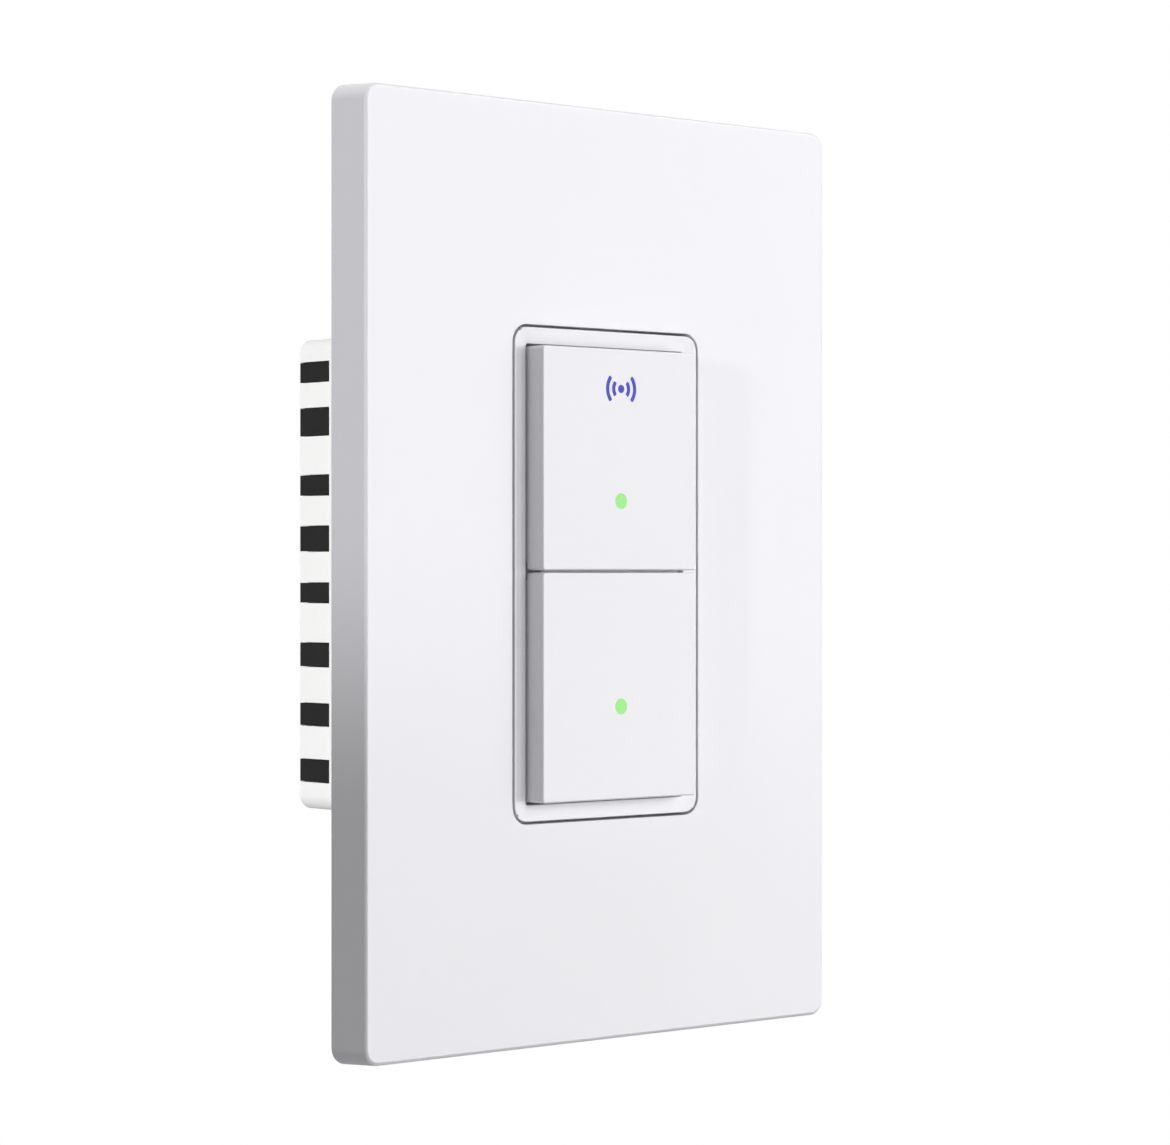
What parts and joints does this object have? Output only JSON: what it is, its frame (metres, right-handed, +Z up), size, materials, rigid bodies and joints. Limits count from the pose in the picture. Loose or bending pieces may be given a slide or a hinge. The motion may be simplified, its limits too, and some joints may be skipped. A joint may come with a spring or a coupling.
{
  "type": "smart double light switch",
  "caption": "Wall light switch with an upper and a lower press button, round light windows and a light symbol in a screwless cover plate, with its rear housing.",
  "frame": {"origin": "middle of the wall surface, between the two box screws", "axes": "+X right seen from the room, +Y into the wall, +Z up; the buttons face -Y"},
  "size_m": [0.0832, 0.0436, 0.128],
  "materials": {
    "face_plastic": "glossy white moulded plastic",
    "frame_plastic": "satin white moulded plastic",
    "housing_plastic": "fine matte white plastic",
    "zinc_steel": "zinc plated pressed sheet",
    "screw_steel": "bright zinc plated screws",
    "green_screw": "green lacquered",
    "brass": "bare brass",
    "fibre": "pressed red fibre",
    "black_plastic": "matt black",
    "green_light": "lit light pipe, clear plastic",
    "blue_light": "lit blue window",
    "plunger_plastic": "grey moulded plastic",
    "board": "green solder mask",
    "lamp_body": "small lamp bodies",
    "tin": "tinned sheet",
    "relay_plastic": "dark blue plastic",
    "ferrite": "grey black ferrite",
    "winding_tape": "yellow film tape",
    "sleeve": "dark shrink sleeve",
    "film_box": "yellow potted box",
    "disc_blue": "blue dipped epoxy",
    "fuse_brown": "brown plastic",
    "terminal_plastic": "dark grey plastic"
  },
  "bodies": {
    "housing": {"cover_plate": "face_plastic", "sub_plate": "frame_plastic", "sub_plate_screws": "screw_steel", "mounting_yoke": "zinc_steel", "yoke_screws": "screw_steel", "box_screws": "screw_steel", "screw_retainers": "fibre", "ground_screw": "green_screw", "front_bezel": "face_plastic", "upper_key_switch": "black_plastic", "lower_key_switch": "black_plastic", "indicator_lights": "lamp_body", "control_board": "board", "board_screws": "screw_steel", "radio_board": "board", "radio_can": "tin", "board_header": "black_plastic", "front_shell": "housing_plastic", "rear_cover": "housing_plastic", "slot_liner": "black_plastic", "housing_screws": "screw_steel", "power_board": "board", "left_relay": "relay_plastic", "right_relay": "relay_plastic", "transformer_core": "ferrite", "transformer_winding": "winding_tape", "round_capacitor": "sleeve", "film_capacitor": "film_box", "varistor": "disc_blue", "fuse": "fuse_brown", "terminal_block": "terminal_plastic", "terminal_clamps": "brass", "terminal_screws": "screw_steel"},
    "upper_press": {"upper_button": "face_plastic", "upper_light_pipe": "green_light", "symbol_light": "blue_light"},
    "lower_press": {"lower_button": "face_plastic", "lower_light_pipe": "green_light"},
    "upper_key": {"upper_plunger": "plunger_plastic"},
    "lower_key": {"lower_plunger": "plunger_plastic"}
  },
  "joints": [
    {"name": "upper_button_press", "type": "hinge", "parent": "housing", "child": "upper_press", "pos_m": [0, -0.0054, 0.0284], "axis": [1, 0, 0], "range_deg": [0, 1.2], "stiffness_Nm_per_rad": 0.5},
    {"name": "lower_button_press", "type": "hinge", "parent": "housing", "child": "lower_press", "pos_m": [0, -0.0054, -0.0284], "axis": [-1, 0, 0], "range_deg": [0, 1.2], "stiffness_Nm_per_rad": 0.5},
    {"name": "upper_plunger_slide", "type": "slide", "parent": "housing", "child": "upper_key", "axis": [0, 1, 0], "range_m": [0, 0.0005]},
    {"name": "lower_plunger_slide", "type": "slide", "parent": "housing", "child": "lower_key", "axis": [0, 1, 0], "range_m": [0, 0.0005]}
  ],
  "couplings": [
    {"joint": "upper_plunger_slide", "follows": "upper_button_press", "m_per_rad": 0.0224},
    {"joint": "lower_plunger_slide", "follows": "lower_button_press", "m_per_rad": 0.0232}
  ]
}
